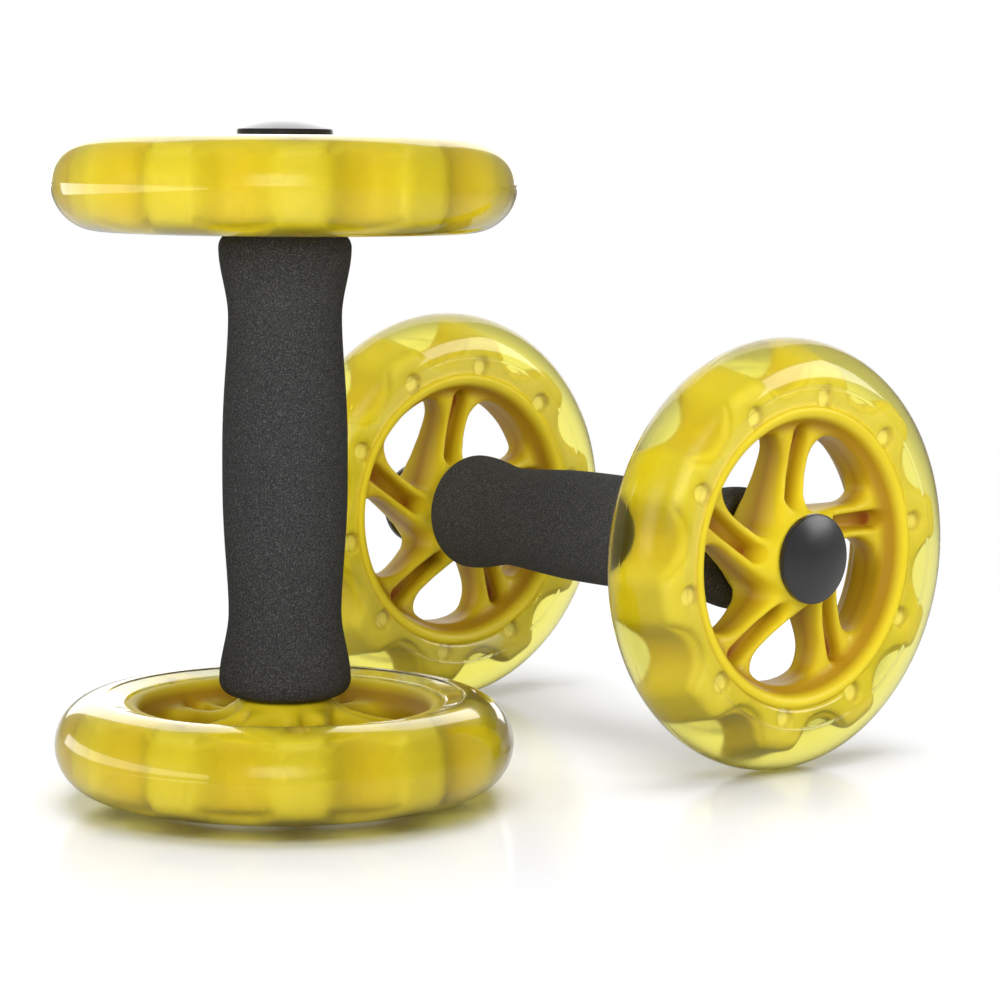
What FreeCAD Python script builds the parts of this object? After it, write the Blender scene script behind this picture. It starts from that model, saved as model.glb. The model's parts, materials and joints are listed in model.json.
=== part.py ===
"""A pair of ab wheel rollers: one stands on the end of its axle, one lies on its wheels.

Every roller is built along its own Z axis with the middle of the handle at zero, then placed.
"""

import FreeCAD, Part
import math
import os
import Sketcher

doc = FreeCAD.newDocument("AbRollers")
sheet = doc.addObject("Spreadsheet::Sheet", "Sizes")

# Driving sizes in millimetres, degrees and counts
driving_sizes = {
    # where the rollers stand
    "lying_x": 111.4,
    "lying_y": 120.5,
    "lying_yaw": -52.9,
    "lying_roll": 0.0,
    "standing_roll": -22.5,
    # tyre
    "wheel_spacing": 176.0,
    "tyre_diameter": 145.0,
    "tyre_width": 30.0,
    "tyre_edge_recess": 1.8,
    "seam_inset": 1.0,
    "seam_recess": 0.4,
    # rim of the wheel core, and the lugs that key it into the tyre
    "tread_depth": 8.5,
    "flank_cover": 3.4,
    "rim_depth": 17.0,
    "rim_taper": 3.0,
    "lip_width": 3.6,
    "lip_recess": 2.0,
    "lug_chamfer": 1.5,
    "lug_count": 10,
    "lug_turn": 27.0,
    "valley_radius": 10.5,
    "valley_depth": 7.0,
    "bite_radius": 11.0,
    "bite_depth": 9.0,
    "bite_height": 3.0,
    "anchor_inset": 3.2,
    "anchor_diameter": 5.6,
    "anchor_depth": 4.0,
    # spokes
    "spoke_count": 5,
    "spoke_offset": 9.5,
    "spoke_width": 12.0,
    "spoke_height": 12.4,
    "spoke_shoulder_height": 15.0,
    "spoke_shoulder_reach": 12.5,
    "spoke_root_drop": 1.5,
    "spoke_root_reach": 1.5,
    "window_margin": 1.0,
    "window_rim_radius": 6.5,
    "window_hub_radius": 4.0,
    "channel_web": 3.0,
    "channel_hub_width": 4.4,
    "channel_rim_width": 6.0,
    "channel_hub_margin": 3.0,
    "channel_rim_margin": 6.0,
    # hub and its bushes
    "hub_diameter": 29.0,
    "hub_length": 27.0,
    "counterbore_depth": 5.5,
    "bush_wall": 1.95,
    "bush_flange_width": 1.5,
    "bush_flange_clearance": 0.5,
    "bush_flange_thickness": 1.0,
    "bush_gap": 0.5,
    "running_clearance": 0.05,
    "end_play": 0.3,
    # end cap
    "cap_overhang": 0.5,
    "cap_rim_thickness": 2.0,
    "cap_room": 3.7,
    "cap_wall": 2.0,
    "cap_dome_radius": 30.0,
    "cap_pad_diameter": 13.0,
    "cap_skirt_length": 2.0,
    "cap_skirt_wall": 1.4,
    "cap_skirt_clearance": 0.1,
    # axle and what holds the wheels on it
    "axle_diameter": 10.0,
    "screw_diameter": 6.0,
    "screw_length": 16.0,
    "screw_tip_room": 2.0,
    "screw_head_diameter": 10.5,
    "screw_head_height": 3.3,
    "screw_socket_width": 4.0,
    "screw_socket_depth": 2.0,
    "washer_clearance": 1.0,
    "washer_thickness": 1.2,
    "collar_clearance": 1.0,
    # handle
    "grip_clearance": 1.5,
    "tube_diameter": 28.0,
    "tube_wall": 2.0,
    "plug_flange_thickness": 2.0,
    "plug_depth": 10.0,
    "foam_end": 6.8,
    "foam_waist": 3.8,
    "foam_middle": 5.7,
    "waist_inset": 27.0,
    "grip_corner_radius": 5.0,
}
for row, (alias, value) in enumerate(driving_sizes.items(), start=1):
    sheet.set(f"A{row}", alias)
    sheet.set(f"B{row}", str(value))
    sheet.setAlias(f"B{row}", alias)
doc.recompute()


class Size:
    """A size known both as a formula on the sheet and as its present value."""

    def __init__(self, formula, value):
        self.formula = formula
        self.value = value

    def __add__(self, other):
        other = as_size(other)
        return Size(f"({self.formula} + {other.formula})", self.value + other.value)

    def __sub__(self, other):
        other = as_size(other)
        return Size(f"({self.formula} - {other.formula})", self.value - other.value)

    def __mul__(self, factor):
        return Size(f"({self.formula} * {factor})", self.value * factor)

    def __truediv__(self, divisor):
        return Size(f"({self.formula} / {divisor})", self.value / divisor)

    def __rtruediv__(self, number):
        return Size(f"({number} / {self.formula})", number / self.value)

    def __neg__(self):
        return Size(f"(0 - {self.formula})", -self.value)


def as_size(number):
    return number if isinstance(number, Size) else Size(str(number), float(number))


def size(alias):
    return Size(f"Sizes.{alias}", float(sheet.get(alias)))


def half(alias):
    return size(alias) / 2


def bind(target, path, length):
    target.setExpression(path, length.formula)


# Sketching

def new_body(label):
    body = doc.addObject("PartDesign::Body", label)
    body.Label = label
    return body


def new_sketch(body, name, role, lift=None):
    sketch = body.newObject("Sketcher::SketchObject", name)
    plane = [feature for feature in body.Origin.OriginFeatures if feature.Role == role][0]
    sketch.AttachmentSupport = [(plane, "")]
    sketch.MapMode = "FlatFace"
    if lift is not None:
        sketch.AttachmentOffset = FreeCAD.Placement(FreeCAD.Vector(0, 0, lift.value), FreeCAD.Rotation())
        bind(sketch, "AttachmentOffset.Base.z", lift)
    return sketch


def pin(sketch, geometry, corner, across, up):
    """Hold one point of the sketch at (across, up) from the sketch's origin."""
    for kind, axis, length in (("DistanceX", -2, across), ("DistanceY", -1, up)):
        if abs(length.value) < 1e-9:
            sketch.addConstraint(Sketcher.Constraint("PointOnObject", geometry, corner, axis))
        elif length.value > 0:
            row = sketch.addConstraint(Sketcher.Constraint(kind, -1, 1, geometry, corner, length.value))
            bind(sketch, f"Constraints[{row}]", length)
        else:
            row = sketch.addConstraint(Sketcher.Constraint(kind, geometry, corner, -1, 1, -length.value))
            bind(sketch, f"Constraints[{row}]", -length)


def set_radius(sketch, geometry, radius):
    row = sketch.addConstraint(Sketcher.Constraint("Radius", geometry, radius.value))
    bind(sketch, f"Constraints[{row}]", radius)


def point(across, up):
    return FreeCAD.Vector(across, up, 0)


def arc_about(centre, start, end):
    """The counter-clockwise arc about a centre from one point to another."""
    circle = Part.Circle(centre, FreeCAD.Vector(0, 0, 1), start.distanceToPoint(centre))
    first = math.atan2(start.y - centre.y, start.x - centre.x)
    last = math.atan2(end.y - centre.y, end.x - centre.x)
    if last < first:
        last += 2 * math.pi
    return Part.ArcOfCircle(circle, first, last)


def draw_outline(sketch, corners, rounds=None):
    """A closed outline through pinned corners; rounds maps a corner to the radius of the
    counter-clockwise arc that runs from it to the next corner."""
    rounds = rounds or {}
    places = [point(across.value, up.value) for across, up in corners]
    for index, start in enumerate(places):
        end = places[(index + 1) % len(places)]
        if index in rounds:
            radius = rounds[index].value
            chord = end - start
            inward = point(-chord.y, chord.x).normalize()
            reach = math.sqrt(radius ** 2 - (chord.Length / 2) ** 2)
            sketch.addGeometry(arc_about((start + end) * 0.5 + inward * reach, start, end))
        else:
            sketch.addGeometry(Part.LineSegment(start, end))
    for index, (across, up) in enumerate(corners):
        following = (index + 1) % len(corners)
        sketch.addConstraint(Sketcher.Constraint("Coincident", index, 2, following, 1))
        pin(sketch, index, 1, across, up)
    for index, radius in rounds.items():
        set_radius(sketch, index, radius)


def turned_body(label, corners, rounds=None):
    """A body turned about Z from an outline of (radius, height) corners."""
    body = new_body(label)
    sketch = new_sketch(body, f"{label}_profile", "XZ_Plane")
    draw_outline(sketch, corners, rounds)
    turn = body.newObject("PartDesign::Revolution", f"{label}_turn")
    turn.Profile = sketch
    turn.ReferenceAxis = (sketch, ["V_Axis"])
    turn.Angle = 360
    doc.recompute()
    return body


def ring_body(label, bore, outer, low, high):
    return turned_body(label, [(bore, low), (outer, low), (outer, high), (bore, high)])


def pocket(body, sketch, depth, upwards=False, both_ways=False):
    """Cut a sketch out of the body and make sure that it took material away."""
    before = body.Shape.Volume
    cut = body.newObject("PartDesign::Pocket", f"{sketch.Name}_pocket")
    cut.Profile = sketch
    cut.Type = "Length"
    bind(cut, "Length", depth)
    cut.Reversed = upwards
    if both_ways:
        cut.SideType = "Symmetric"
    doc.recompute()
    if body.Shape.Volume > before - 1e-6:
        raise RuntimeError(f"{cut.Name} cut nothing")
    return cut


def ring_pattern(body, features, sketch, count):
    pattern = body.newObject("PartDesign::PolarPattern", f"{features[0].Name}_ring")
    pattern.Originals = features
    pattern.Axis = (sketch, ["N_Axis"])
    pattern.Angle = 360
    bind(pattern, "Occurrences", count)
    body.Tip = pattern
    doc.recompute()
    return pattern


# Radii of the wheel, from the tread to the hub
tyre_crown = half("tyre_width")
tyre_widest = half("tyre_diameter") - tyre_crown
lug_radius = half("tyre_diameter") - size("tread_depth")
lug_face = tyre_crown - size("flank_cover")
opening_radius = lug_radius - size("rim_depth")
tyre_edge = opening_radius + size("lip_width")
rim_root = opening_radius - size("rim_taper")
window_reach = rim_root - size("window_margin")
bush_bore = half("axle_diameter") + size("running_clearance")
bush_radius = bush_bore + size("bush_wall")
bush_flange = bush_radius + size("bush_flange_width")
counterbore = bush_flange + size("bush_flange_clearance")

# Heights along the axle, from the middle of the handle to one end
wheel_middle = half("wheel_spacing")
hub_face = wheel_middle + half("hub_length")
bush_seat = half("hub_length") - size("counterbore_depth")
bush_face = bush_seat + size("bush_flange_thickness")
axle_end = wheel_middle + bush_face + size("end_play")
collar_face = wheel_middle - bush_face - size("end_play")
grip_end = wheel_middle - half("hub_length") - size("grip_clearance")
washer_face = axle_end + size("washer_thickness")
cap_ceiling = washer_face + size("screw_head_height") + size("cap_room")
cap_top = cap_ceiling + size("cap_wall")


# Wheel core, about its own middle plane

corner_share = 0.2  # most of the rim between two spokes that one corner of a window may round


def window_corner(upper_edge, lower_edge):
    """Radius of a window's corner at the rim, limited by the rim between the two spokes."""
    wanted = size("window_rim_radius")
    rim = window_reach
    lean = math.asin(upper_edge.value / rim.value) - math.asin(lower_edge.value / rim.value)
    span = 2 * math.pi / size("spoke_count").value - lean
    lean_formula = f"asin({upper_edge.formula} / {rim.formula}) - asin({lower_edge.formula} / {rim.formula})"
    span_formula = f"(360 / Sizes.spoke_count - ({lean_formula}) / 1 deg) * pi / 180"
    room = Size(f"({rim.formula} * {span_formula})", rim.value * span) * corner_share
    return Size(f"min({wanted.formula}; {room.formula})", min(wanted.value, room.value))


def draw_window(sketch):
    """Rounded triangle between two neighbouring spokes and the rim."""
    pitch = math.radians(360 / size("spoke_count").value)
    along = point(math.cos(pitch), math.sin(pitch))
    left = point(-math.sin(pitch), math.cos(pitch))
    upper_edge = size("spoke_offset") + half("spoke_width")
    lower_edge = size("spoke_offset") - half("spoke_width")
    rim = window_reach
    rim_round = window_corner(upper_edge, lower_edge)
    hub_round = size("window_hub_radius")

    inner_rim = rim.value - rim_round.value
    first_height = upper_edge.value + rim_round.value
    first_centre = point(math.sqrt(inner_rim ** 2 - first_height ** 2), first_height)
    last_side = lower_edge.value - rim_round.value
    last_centre = left * last_side + along * math.sqrt(inner_rim ** 2 - last_side ** 2)
    hub_height = upper_edge.value + hub_round.value
    hub_across = (hub_height * left.y - lower_edge.value + hub_round.value) / -left.x
    hub_centre = point(hub_across, hub_height)

    first_foot = point(first_centre.x, upper_edge.value)
    first_rim = first_centre * (rim.value / inner_rim)
    last_rim = last_centre * (rim.value / inner_rim)
    last_foot = last_centre + left * rim_round.value
    hub_last = hub_centre + left * hub_round.value
    hub_first = point(hub_centre.x, upper_edge.value)

    origin = point(0, 0)
    sketch.addGeometry(Part.LineSegment(hub_first, first_foot))
    sketch.addGeometry(arc_about(first_centre, first_foot, first_rim))
    sketch.addGeometry(arc_about(origin, first_rim, last_rim))
    sketch.addGeometry(arc_about(last_centre, last_rim, last_foot))
    sketch.addGeometry(Part.LineSegment(last_foot, hub_last))
    sketch.addGeometry(arc_about(hub_centre, hub_last, hub_first))
    side_count = 6
    for side in range(side_count):
        sketch.addConstraint(Sketcher.Constraint("Tangent", side, 2, (side + 1) % side_count, 1))
    sketch.addConstraint(Sketcher.Constraint("Coincident", 2, 3, -1, 1))
    sketch.addConstraint(Sketcher.Constraint("Horizontal", 0))
    for side, radius in ((1, rim_round), (2, rim), (3, rim_round), (5, hub_round)):
        set_radius(sketch, side, radius)
    row = sketch.addConstraint(Sketcher.Constraint("DistanceY", -1, 1, 0, 1, upper_edge.value))
    bind(sketch, f"Constraints[{row}]", upper_edge)
    row = sketch.addConstraint(Sketcher.Constraint("Distance", -1, 1, 4, lower_edge.value))
    bind(sketch, f"Constraints[{row}]", lower_edge)
    row = sketch.addConstraint(Sketcher.Constraint("Angle", -1, 1, 4, 2, pitch))
    sketch.setExpression(f"Constraints[{row}]", "360 deg / Sizes.spoke_count")


def draw_taper_slot(sketch, start, start_width, end, end_width, height):
    """Slot along X with round ends of two widths."""
    near = point(start.value, height.value)
    far = point(end.value, height.value)
    near_radius = start_width.value / 2
    far_radius = end_width.value / 2
    lean = math.asin((far_radius - near_radius) / (far.x - near.x))
    up = point(-math.sin(lean), math.cos(lean))
    down = point(-math.sin(lean), -math.cos(lean))
    sketch.addGeometry(Part.LineSegment(near + down * near_radius, far + down * far_radius))
    sketch.addGeometry(arc_about(far, far + down * far_radius, far + up * far_radius))
    sketch.addGeometry(Part.LineSegment(far + up * far_radius, near + up * near_radius))
    sketch.addGeometry(arc_about(near, near + up * near_radius, near + down * near_radius))
    side_count = 4
    for side in range(side_count):
        sketch.addConstraint(Sketcher.Constraint("Tangent", side, 2, (side + 1) % side_count, 1))
    pin(sketch, 1, 3, end, height)
    pin(sketch, 3, 3, start, height)
    set_radius(sketch, 1, end_width / 2)
    set_radius(sketch, 3, start_width / 2)


def draw_circle(sketch, radius, reach, turn):
    """Circle whose centre lies at a reach from the axis, turned about it."""
    angle = math.radians(turn.value)
    centre = point(reach.value * math.cos(angle), reach.value * math.sin(angle))
    sketch.addGeometry(Part.Circle(centre, FreeCAD.Vector(0, 0, 1), radius.value))
    set_radius(sketch, 0, radius)
    cosine = Size(f"cos({turn.formula} * 1 deg)", math.cos(angle))
    sine = Size(f"sin({turn.formula} * 1 deg)", math.sin(angle))
    across = Size(f"({reach.formula} * {cosine.formula})", centre.x)
    up = Size(f"({reach.formula} * {sine.formula})", centre.y)
    pin(sketch, 0, 3, across, up)


def make_core():
    lip = tyre_crown - size("lip_recess")
    hub = half("hub_diameter")
    chamfer = size("lug_chamfer")
    upper = [
        (bush_radius, bush_seat),
        (counterbore, bush_seat),
        (counterbore, half("hub_length")),
        (hub, half("hub_length")),
        (hub + size("spoke_root_reach"), half("hub_length") - size("spoke_root_drop")),
        (hub + size("spoke_shoulder_reach"), half("spoke_shoulder_height")),
        (rim_root, half("spoke_height")),
        (opening_radius, lip),
        (tyre_edge, lip),
        (tyre_edge, lug_face),
        (lug_radius - chamfer, lug_face),
        (lug_radius, lug_face - chamfer),
    ]
    lower = [(across, -up) for across, up in upper]
    core = turned_body("core", lower + upper[::-1])

    windows = new_sketch(core, "window", "XY_Plane")
    draw_window(windows)
    cut = pocket(core, windows, size("hub_length"), both_ways=True)
    ring_pattern(core, [cut], windows, size("spoke_count"))

    web = half("channel_web")
    channel_depth = half("hub_length")
    for name, lift, upwards in (("outer_channel", web, True), ("inner_channel", -web, False)):
        channel = new_sketch(core, name, "XY_Plane", lift)
        draw_taper_slot(channel, half("hub_diameter") + size("channel_hub_margin"),
                        size("channel_hub_width"), window_reach - size("channel_rim_margin"),
                        size("channel_rim_width"), size("spoke_offset"))
        cut = pocket(core, channel, channel_depth, upwards)
        ring_pattern(core, [cut], channel, size("spoke_count"))

    valley = new_sketch(core, "valley", "XY_Plane")
    valley_reach = lug_radius - size("valley_depth") + size("valley_radius")
    draw_circle(valley, size("valley_radius"), valley_reach, size("lug_turn"))
    cut = pocket(core, valley, size("tyre_width"), both_ways=True)
    ring_pattern(core, [cut], valley, size("lug_count"))

    bite_floor = lug_face - size("bite_height")
    bite_reach = lug_radius - size("bite_depth") + size("bite_radius")
    for name, lift, upwards in (("outer_bite", bite_floor, True), ("inner_bite", -bite_floor, False)):
        bite = new_sketch(core, name, "XY_Plane", lift)
        draw_circle(bite, size("bite_radius"), bite_reach, size("lug_turn"))
        cut = pocket(core, bite, size("bite_height"), upwards)
        ring_pattern(core, [cut], bite, size("lug_count"))

    anchor_floor = lug_face - size("anchor_depth")
    anchor_reach = tyre_edge + size("anchor_inset")
    anchor_turn = size("lug_turn") + 180 / size("lug_count")
    for name, lift, upwards in (("outer_anchor", anchor_floor, True),
                                ("inner_anchor", -anchor_floor, False)):
        anchor = new_sketch(core, name, "XY_Plane", lift)
        draw_circle(anchor, half("anchor_diameter"), anchor_reach, anchor_turn)
        cut = pocket(core, anchor, size("anchor_depth"), upwards)
        ring_pattern(core, [cut], anchor, size("lug_count"))
    return core


# Tyre, cast over the rim of the core

def make_tyre(core):
    edge = tyre_crown - size("tyre_edge_recess")
    seam = tyre_widest - size("seam_inset")
    seam_height = tyre_crown - size("seam_recess")
    corners = [
        (tyre_edge, -edge),
        (seam, -seam_height),
        (tyre_widest, -tyre_crown),
        (half("tyre_diameter"), as_size(0)),
        (tyre_widest, tyre_crown),
        (seam, seam_height),
        (tyre_edge, edge),
    ]
    blank = turned_body("tyre_blank", corners, {2: tyre_crown, 3: tyre_crown})
    tyre = doc.addObject("Part::Cut", "tyre")
    tyre.Base = blank
    tyre.Tool = core
    doc.recompute()
    return tyre


# Pieces at one end of a roller, made at its +Z end

def make_bush(label, side):
    """Flanged bush pressed into the hub; side is 1 for the outer bush and -1 for the inner."""
    heights = [half("bush_gap"), bush_seat, bush_face]
    start, seat, face = [wheel_middle + height * side for height in heights]
    return turned_body(label, [(bush_bore, start), (bush_radius, start), (bush_radius, seat),
                               (bush_flange, seat), (bush_flange, face), (bush_bore, face)])


def make_cap():
    rim = half("hub_diameter") + size("cap_overhang")
    rim_top = hub_face + size("cap_rim_thickness")
    pad = half("cap_pad_diameter")
    skirt = counterbore - size("cap_skirt_clearance")
    skirt_inside = skirt - size("cap_skirt_wall")
    skirt_end = hub_face - size("cap_skirt_length")
    zero = as_size(0)
    corners = [
        (zero, cap_ceiling),
        (pad, cap_ceiling),
        (skirt_inside, hub_face),
        (skirt_inside, skirt_end),
        (skirt, skirt_end),
        (skirt, hub_face),
        (rim, hub_face),
        (rim, rim_top),
        (pad, cap_top),
        (zero, cap_top),
    ]
    return turned_body("cap", corners, {7: size("cap_dome_radius")})


def make_screw():
    shank = half("screw_diameter")
    head = half("screw_head_diameter")
    tip = washer_face - size("screw_length")
    head_top = washer_face + size("screw_head_height")
    zero = as_size(0)
    screw = turned_body("screw", [(zero, tip), (shank, tip), (shank, washer_face), (head, washer_face),
                                  (head, head_top), (zero, head_top)])
    socket = new_sketch(screw, "socket", "XY_Plane", head_top - size("screw_socket_depth"))
    side = half("screw_socket_width")
    corner = side * 2 / math.sqrt(3)
    shift = corner / 2
    draw_outline(socket, [(corner, as_size(0)), (shift, side), (-shift, side),
                          (-corner, as_size(0)), (-shift, -side), (shift, -side)])
    pocket(screw, socket, size("screw_socket_depth"), upwards=True)
    return screw


def make_plug():
    bore = half("axle_diameter")
    flange = half("tube_diameter")
    spigot = flange - size("tube_wall")
    seat = grip_end - size("plug_flange_thickness")
    start = seat - size("plug_depth")
    return turned_body("plug", [(bore, start), (spigot, start), (spigot, seat), (flange, seat),
                                (flange, grip_end), (bore, grip_end)])


# Pieces along the whole handle

def make_axle():
    outer = half("axle_diameter")
    tapped = half("screw_diameter")
    hole_end = washer_face - size("screw_length") - size("screw_tip_room")
    zero = as_size(0)
    upper = [(zero, hole_end), (tapped, hole_end), (tapped, axle_end), (outer, axle_end)]
    lower = [(across, -up) for across, up in upper]
    return turned_body("axle", lower + upper[::-1])


def make_tube():
    outer = half("tube_diameter")
    seat = grip_end - size("plug_flange_thickness")
    return ring_body("tube", outer - size("tube_wall"), outer, -seat, seat)


def make_grip():
    """Foam sleeve whose outline swells at the middle and the ends and draws in at two waists."""
    bore = half("tube_diameter").value
    end = grip_end.value
    corner = size("grip_corner_radius").value
    end_radius = bore + size("foam_end").value
    waist_radius = bore + size("foam_waist").value
    middle_radius = bore + size("foam_middle").value
    waist = end - size("waist_inset").value

    def at(radius, height):
        return FreeCAD.Vector(radius, 0, height)

    curve = Part.BSplineCurve()
    along = FreeCAD.Vector(0, 0, 1)
    curve.interpolate(Points=[at(end_radius, corner - end), at(waist_radius, -waist),
                              at(middle_radius, 0), at(waist_radius, waist),
                              at(end_radius, end - corner)],
                      InitialTangent=along, FinalTangent=along)
    slant = corner * (1 - math.sqrt(0.5))
    low_corner = Part.Arc(at(end_radius - corner, -end), at(end_radius - slant, slant - end),
                          at(end_radius, corner - end))
    high_corner = Part.Arc(at(end_radius, end - corner), at(end_radius - slant, end - slant),
                           at(end_radius - corner, end))
    edges = [
        Part.LineSegment(at(bore, -end), at(end_radius - corner, -end)).toShape(),
        low_corner.toShape(),
        curve.toShape(),
        high_corner.toShape(),
        Part.LineSegment(at(end_radius - corner, end), at(bore, end)).toShape(),
        Part.LineSegment(at(bore, end), at(bore, -end)).toShape(),
    ]
    face = Part.Face(Part.Wire(edges))
    grip = doc.addObject("Part::Feature", "grip")
    grip.Shape = face.revolve(FreeCAD.Vector(0, 0, 0), along, 360)
    return grip


core_master = make_core()
tyre_master = make_tyre(core_master)
wheel_masters = {"wheel_core": core_master, "tyre": tyre_master}
end_masters = {
    "inner_bush": make_bush("inner_bush", -1),
    "outer_bush": make_bush("outer_bush", 1),
    "end_cap": make_cap(),
    "axle_screw": make_screw(),
    "retaining_washer": ring_body("washer", half("screw_diameter"), counterbore - size("washer_clearance"),
                                  axle_end, washer_face),
    "spacer_collar": ring_body("collar", half("axle_diameter"), counterbore - size("collar_clearance"),
                               grip_end, collar_face),
    "handle_plug": make_plug(),
}
handle_masters = {"axle_rod": make_axle(), "handle_tube": make_tube(), "foam_grip": make_grip()}


# Placing the pieces

upright = FreeCAD.Vector(0, 0, 1)
flip_over = FreeCAD.Placement(FreeCAD.Vector(), FreeCAD.Rotation(FreeCAD.Vector(1, 0, 0), 180))


def turn_about(axis, alias):
    return FreeCAD.Rotation(axis, size(alias).value)


standing_place = FreeCAD.Placement(FreeCAD.Vector(0, 0, cap_top.value),
                                   turn_about(upright, "standing_roll"))
lay_down = FreeCAD.Rotation(upright, size("lying_yaw").value + 90)
lay_down = lay_down.multiply(FreeCAD.Rotation(FreeCAD.Vector(1, 0, 0), 90))
lying_place = FreeCAD.Placement(
    FreeCAD.Vector(size("lying_x").value, size("lying_y").value, half("tyre_diameter").value),
    lay_down.multiply(turn_about(upright, "lying_roll")))


def place(label, master, placement):
    copy = doc.addObject("App::Link", label)
    copy.LinkedObject = master
    copy.Label = label
    copy.Placement = placement
    return copy


nodes = []
rollers = (
    ("standing", standing_place, {"lower": -1, "upper": 1}),
    ("lying", lying_place, {"far": -1, "near": 1}),
)
for roller, roller_place, ends in rollers:
    for piece, master in handle_masters.items():
        nodes.append(place(f"{roller}_{piece}", master, roller_place))
    for end, side in ends.items():
        shift = FreeCAD.Placement(upright * (side * wheel_middle.value), FreeCAD.Rotation())
        facing = FreeCAD.Placement() if side > 0 else flip_over
        for piece, master in wheel_masters.items():
            nodes.append(place(f"{roller}_{end}_{piece}", master, roller_place.multiply(shift)))
        for piece, master in end_masters.items():
            nodes.append(place(f"{roller}_{end}_{piece}", master, roller_place.multiply(facing)))
doc.recompute()

for item in doc.Objects:
    if "Invalid" in item.State or "Error" in item.State:
        raise RuntimeError(f"{item.Label} failed: {item.State}")
shapes = {node.Label: Part.getShape(node) for node in nodes}
for label, shape in shapes.items():
    if shape.isNull() or not shape.isValid() or not shape.Solids:
        raise RuntimeError(f"{label} has no valid solid")

os.makedirs("parts", exist_ok=True)
for label, shape in shapes.items():
    shape.exportStep(os.path.join("parts", f"{label}.step"))
print(len(shapes), "pieces written")
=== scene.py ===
import bmesh
import bpy
import json
import math
import numpy as np
from mathutils import Matrix, Vector

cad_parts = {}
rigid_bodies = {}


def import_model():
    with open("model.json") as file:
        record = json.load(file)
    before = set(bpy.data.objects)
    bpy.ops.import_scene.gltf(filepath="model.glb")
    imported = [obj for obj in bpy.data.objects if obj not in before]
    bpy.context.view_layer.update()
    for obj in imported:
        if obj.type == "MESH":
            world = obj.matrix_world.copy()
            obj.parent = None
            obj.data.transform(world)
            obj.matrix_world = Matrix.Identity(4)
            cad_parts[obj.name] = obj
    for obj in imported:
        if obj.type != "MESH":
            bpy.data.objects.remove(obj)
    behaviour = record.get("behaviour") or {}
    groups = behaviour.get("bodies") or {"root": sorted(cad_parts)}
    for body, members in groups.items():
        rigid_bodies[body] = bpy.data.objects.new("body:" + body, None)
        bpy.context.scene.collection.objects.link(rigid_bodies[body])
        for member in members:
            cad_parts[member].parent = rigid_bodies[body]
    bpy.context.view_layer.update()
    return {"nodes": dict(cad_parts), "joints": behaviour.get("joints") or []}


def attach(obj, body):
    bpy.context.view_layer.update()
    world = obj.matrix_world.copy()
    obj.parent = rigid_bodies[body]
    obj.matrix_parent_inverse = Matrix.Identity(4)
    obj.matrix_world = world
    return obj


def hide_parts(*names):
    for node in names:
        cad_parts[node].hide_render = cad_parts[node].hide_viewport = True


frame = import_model()
print("frame loaded,", len(frame["nodes"]), "nodes")

millimetre = 0.001
mergeDistance = 1e-6
fullTurn = 2 * math.pi

# each roller's two wheels, the low end of its axle first
rollers = {"standing": ("lower", "upper"), "lying": ("far", "near")}
standingRoll = math.radians(-22.5)


# where a wheel sits: rows of axes are across, axle x across, and along the axle
def wheelPlace(joint):
    axle = np.array(joint["axis"])
    upright = abs(axle[2]) > 0.5
    if upright:
        across = np.array([math.cos(standingRoll), math.sin(standingRoll), 0.0])
    else:
        across = np.array([-axle[1], axle[0], 0.0])
    axes = np.stack([across, np.cross(axle, across), axle])
    return {"centre": np.array(joint["pos_m"]), "axes": axes}


wheelPlaces = {j["child"]: wheelPlace(j) for j in frame["joints"] if j["type"] == "hinge"}


# a handle's middle lies halfway between its wheels
def handlePlace(roller):
    low, high = (wheelPlaces[f"{roller}_{end}_wheel"] for end in rollers[roller])
    return {"centre": (low["centre"] + high["centre"]) / 2, "axes": high["axes"]}


# millimetres about a place to metres in the frame: centre + x, y and z along the rows of its axes
def placed(points, place):
    return place["centre"] + (points * millimetre) @ place["axes"]


# falls from 1 to 0 over a width that ends at the given value
def fall(value, end, width):
    return np.clip((end - value) / width, 0, 1)


# rises from 0 to 1 over a width that begins at the given value
def rise(value, start, width):
    return np.clip((value - start) / width, 0, 1)


# the lesser of two distances, lowered by up to a quarter of the blend where they are alike
def smoothMin(a, b, blend):
    share = np.clip(0.5 + 0.5 * (b - a) / blend, 0, 1)
    return b + (a - b) * share - blend * share * (1 - share)


# the greater of two distances, raised in the same way
def smoothMax(a, b, blend):
    return -smoothMin(-a, -b, blend)


# points on a circle: centre + radius x (cosine, sine), with the angles in degrees
def arc(centre, radius, start, end, steps):
    angle = np.radians(np.linspace(start, end, steps))
    return np.stack([centre[0] + radius * np.cos(angle), centre[1] + radius * np.sin(angle)], axis=-1)


# meshes: merging closes seams and poles, and then the faces are turned outwards
def meshObject(name, points, faces, material, merge=True):
    mesh = bpy.data.meshes.new(name)
    mesh.from_pydata(points.tolist(), [], faces.tolist())
    mesh.materials.append(material)
    made = bpy.data.objects.new(name, mesh)
    bpy.context.scene.collection.objects.link(made)
    if merge:
        shell = bmesh.new()
        shell.from_mesh(mesh)
        bmesh.ops.remove_doubles(shell, verts=shell.verts, dist=mergeDistance)
        bmesh.ops.recalc_face_normals(shell, faces=shell.faces)
        shell.to_mesh(mesh)
        shell.free()
    mesh.polygons.foreach_set("use_smooth", np.ones(len(mesh.polygons), bool))
    mesh.update()
    return made


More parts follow.
